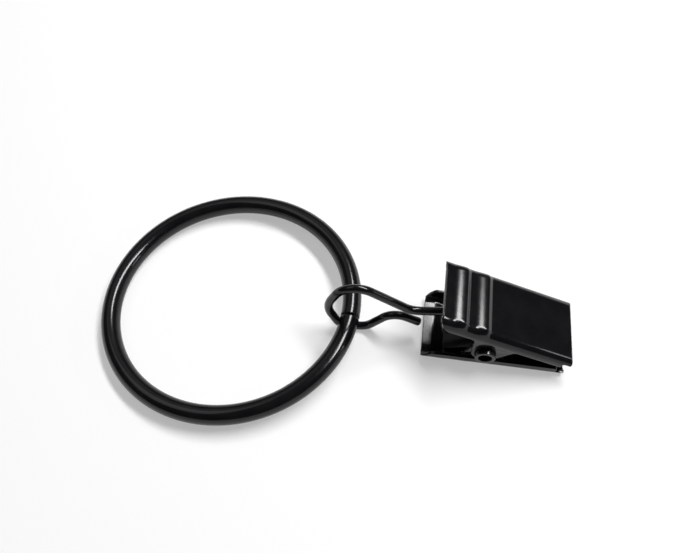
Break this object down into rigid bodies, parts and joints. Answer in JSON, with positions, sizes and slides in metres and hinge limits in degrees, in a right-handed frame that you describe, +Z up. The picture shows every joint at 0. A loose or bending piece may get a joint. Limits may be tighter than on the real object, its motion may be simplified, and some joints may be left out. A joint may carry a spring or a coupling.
{
  "type": "curtain ring with clip",
  "caption": "Black metal curtain ring with a teardrop wire hook and a spring clip whose jaws pinch the top edge of a curtain.",
  "frame": {"origin": "on the table, under the middle of the part's box as it lies", "axes": "+X from the ring to the clip's tip, +Z up from the table, +Y along the clip's pivot"},
  "size_m": [0.0782, 0.0444, 0.0133],
  "materials": {
    "ring_paint": "gloss black paint",
    "hook_paint": "gloss black paint",
    "jaw_paint": "gloss black paint",
    "spring_paint": "gloss black paint"
  },
  "bodies": {
    "ring": {"ring": "ring_paint"},
    "hook": {"hook": "hook_paint"},
    "clip": {"lower_jaw": "jaw_paint", "spring": "spring_paint"},
    "jaw": {"upper_jaw": "jaw_paint"}
  },
  "joints": [
    {"name": "hook_swing", "type": "hinge", "parent": "ring", "child": "hook", "pos_m": [0.00355, -0.00134, 0.00318], "axis": [-0.0653, -0.9979, 0], "continuous": true},
    {"name": "clip_swing", "type": "hinge", "parent": "hook", "child": "clip", "pos_m": [0.0255, 0, 0.00494], "axis": [0, -1, 0], "range_deg": [-10, 8]},
    {"name": "jaw_open", "type": "hinge", "parent": "clip", "child": "jaw", "pos_m": [0.0255, 0, 0.00494], "axis": [0, -1, 0], "range_deg": [0, 18], "stiffness_Nm_per_rad": 0.004, "springref_deg": -11.46, "deforming": ["spring"]}
  ]
}
